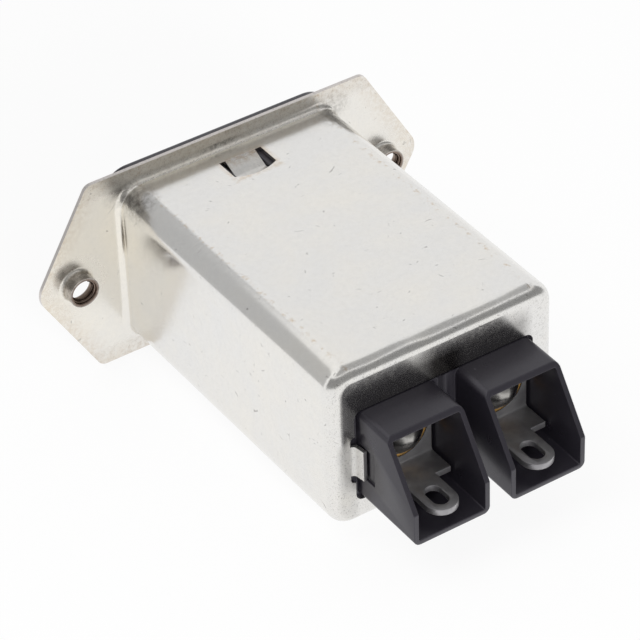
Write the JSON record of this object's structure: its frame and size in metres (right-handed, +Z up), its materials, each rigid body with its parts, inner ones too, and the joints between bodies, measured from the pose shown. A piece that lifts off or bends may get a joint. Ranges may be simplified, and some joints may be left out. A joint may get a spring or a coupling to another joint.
{
  "type": "iec power inlet",
  "caption": "Panel-mount mains inlet: recessed socket in a drawn steel can that holds a line filter, with an eared screw flange in front and solder lugs in black hoods behind.",
  "frame": {"origin": "midway between the two screw holes, on the flange's rear face", "axes": "+Z up, with the earth pin uppermost; the socket opens towards -Y and the terminal hoods stand out towards +Y; the screw holes lie along X"},
  "size_m": [0.049, 0.0528, 0.0242],
  "materials": {
    "plated_steel": "nickel plated, smooth, lightly scratched and stained",
    "black_plastic": "moulded, fine satin grain",
    "contact_nickel": "nickel plated",
    "tinned_brass": "tinned, dull, with flux stains",
    "solder": "bright, as flowed",
    "ferrite": "sintered, matt",
    "copper": "enamelled wire",
    "capacitor_case": "moulded, smooth",
    "disc_coating": "dipped lacquer",
    "resistor_coating": "dipped lacquer",
    "brown_sheath": "extruded, smooth",
    "blue_sheath": "extruded, smooth",
    "pressboard": "calendered, matt"
  },
  "bodies": {
    "root": {"filter_can": "plated_steel", "inlet_body": "black_plastic", "line_pin": "contact_nickel", "neutral_pin": "contact_nickel", "earth_pin": "contact_nickel", "earth_strap": "contact_nickel", "terminal_block": "black_plastic", "line_lug": "tinned_brass", "neutral_lug": "tinned_brass", "line_post": "contact_nickel", "neutral_post": "contact_nickel", "line_solder": "solder", "neutral_solder": "solder", "choke_core": "ferrite", "line_winding": "copper", "neutral_winding": "copper", "x_capacitor": "capacitor_case", "line_y_capacitor": "disc_coating", "neutral_y_capacitor": "disc_coating", "bleed_resistor": "resistor_coating", "line_feed_wire": "brown_sheath", "neutral_feed_wire": "blue_sheath", "line_out_wire": "brown_sheath", "neutral_out_wire": "blue_sheath", "insulating_sleeve": "pressboard"}
  },
  "joints": []
}
